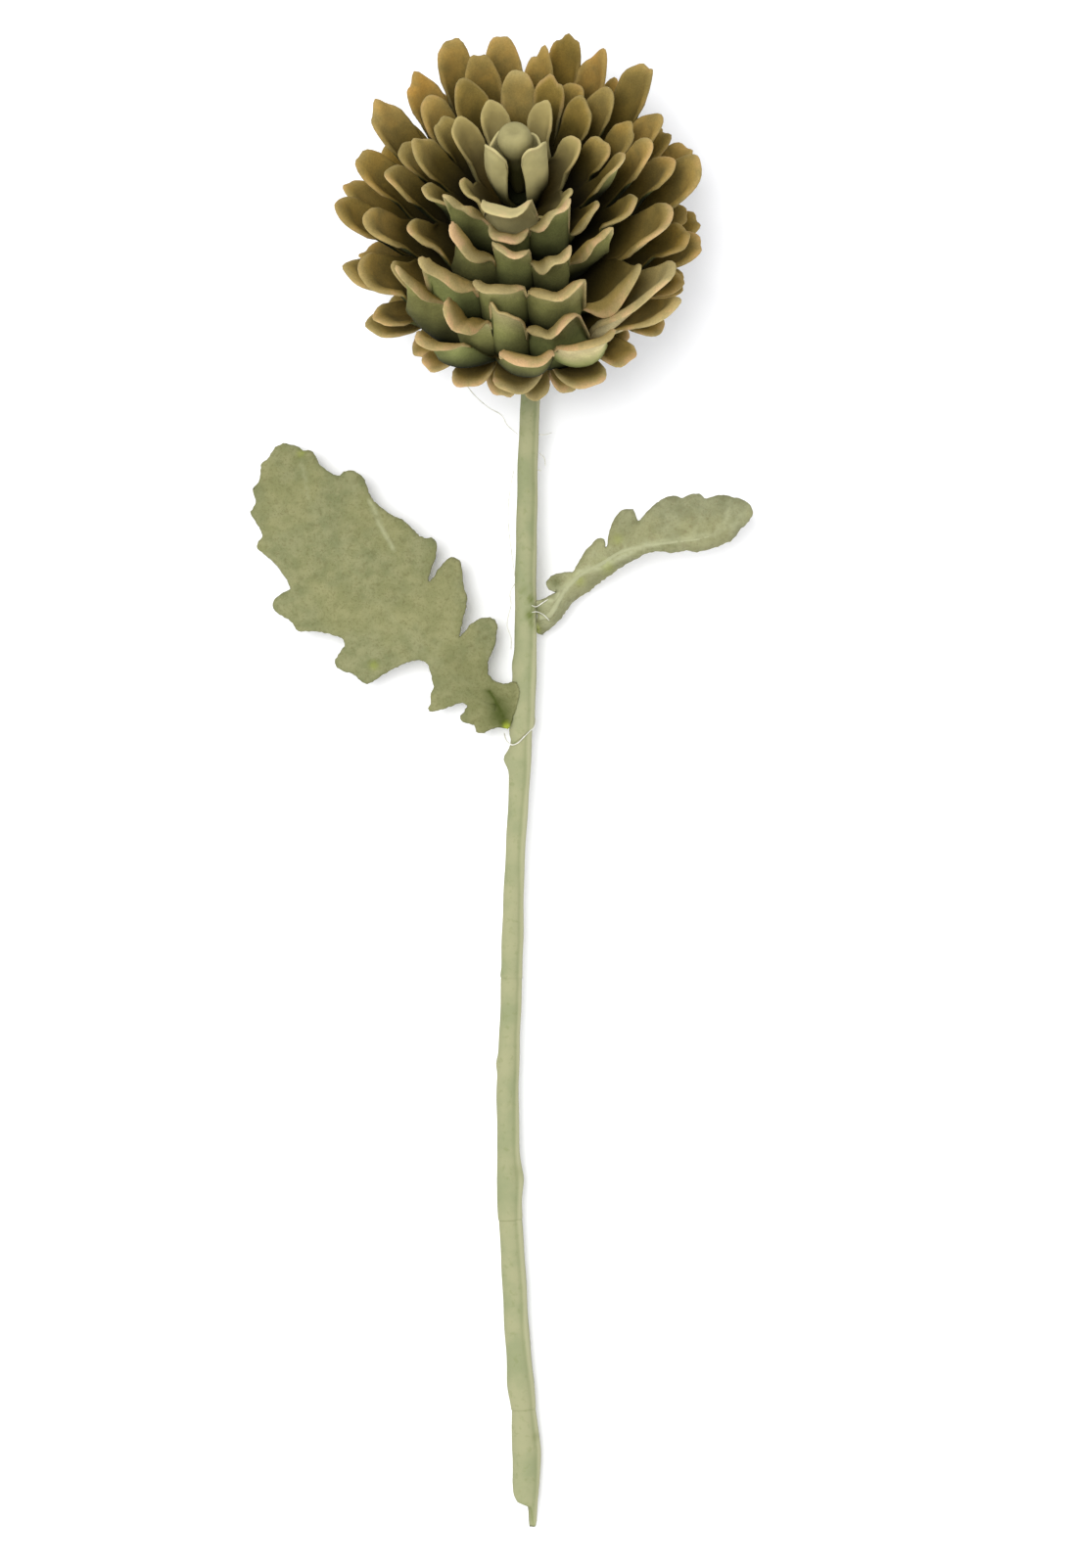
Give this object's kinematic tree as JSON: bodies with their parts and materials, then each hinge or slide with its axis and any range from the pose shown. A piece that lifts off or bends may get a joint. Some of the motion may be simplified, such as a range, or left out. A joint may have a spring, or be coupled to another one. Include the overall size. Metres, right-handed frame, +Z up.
{
  "type": "artificial artichoke stem",
  "caption": "Artificial artichoke on a foam-wrapped wire stem with two lobed leaves, lying flat with its head bent up.",
  "frame": {"origin": "bottom centre of the whole part as it lies, on the surface it rests on", "axes": "+Y along the stem from the cut end to the head, +Z up from the surface, +X to the right seen from above"},
  "size_m": [0.2052, 0.6042, 0.1282],
  "materials": {
    "bract_foam": "matte",
    "heart_foam": "matte",
    "stem_foam": "matte",
    "leaf_foam": "matte",
    "leaf_rib": "matte",
    "wire": "satin"
  },
  "bodies": {
    "root": {"bracts_01": "heart_foam", "bracts_02": "heart_foam", "bracts_03": "bract_foam", "bracts_04": "bract_foam", "bracts_05": "bract_foam", "bracts_06": "bract_foam", "bracts_07": "bract_foam", "bracts_08": "bract_foam", "bracts_09": "bract_foam", "bracts_10": "bract_foam", "head_core": "heart_foam", "bud": "heart_foam", "stem_wire": "wire", "stem_wrap_foot": "stem_foam", "stem_wrap_low": "stem_foam", "stem_wrap_middle": "stem_foam", "stem_wrap_high": "stem_foam", "stem_wrap_neck": "stem_foam", "leaf_left_blade": "leaf_foam", "leaf_left_rib": "leaf_rib", "leaf_right_blade": "leaf_foam", "leaf_right_rib": "leaf_rib"}
  },
  "joints": []
}
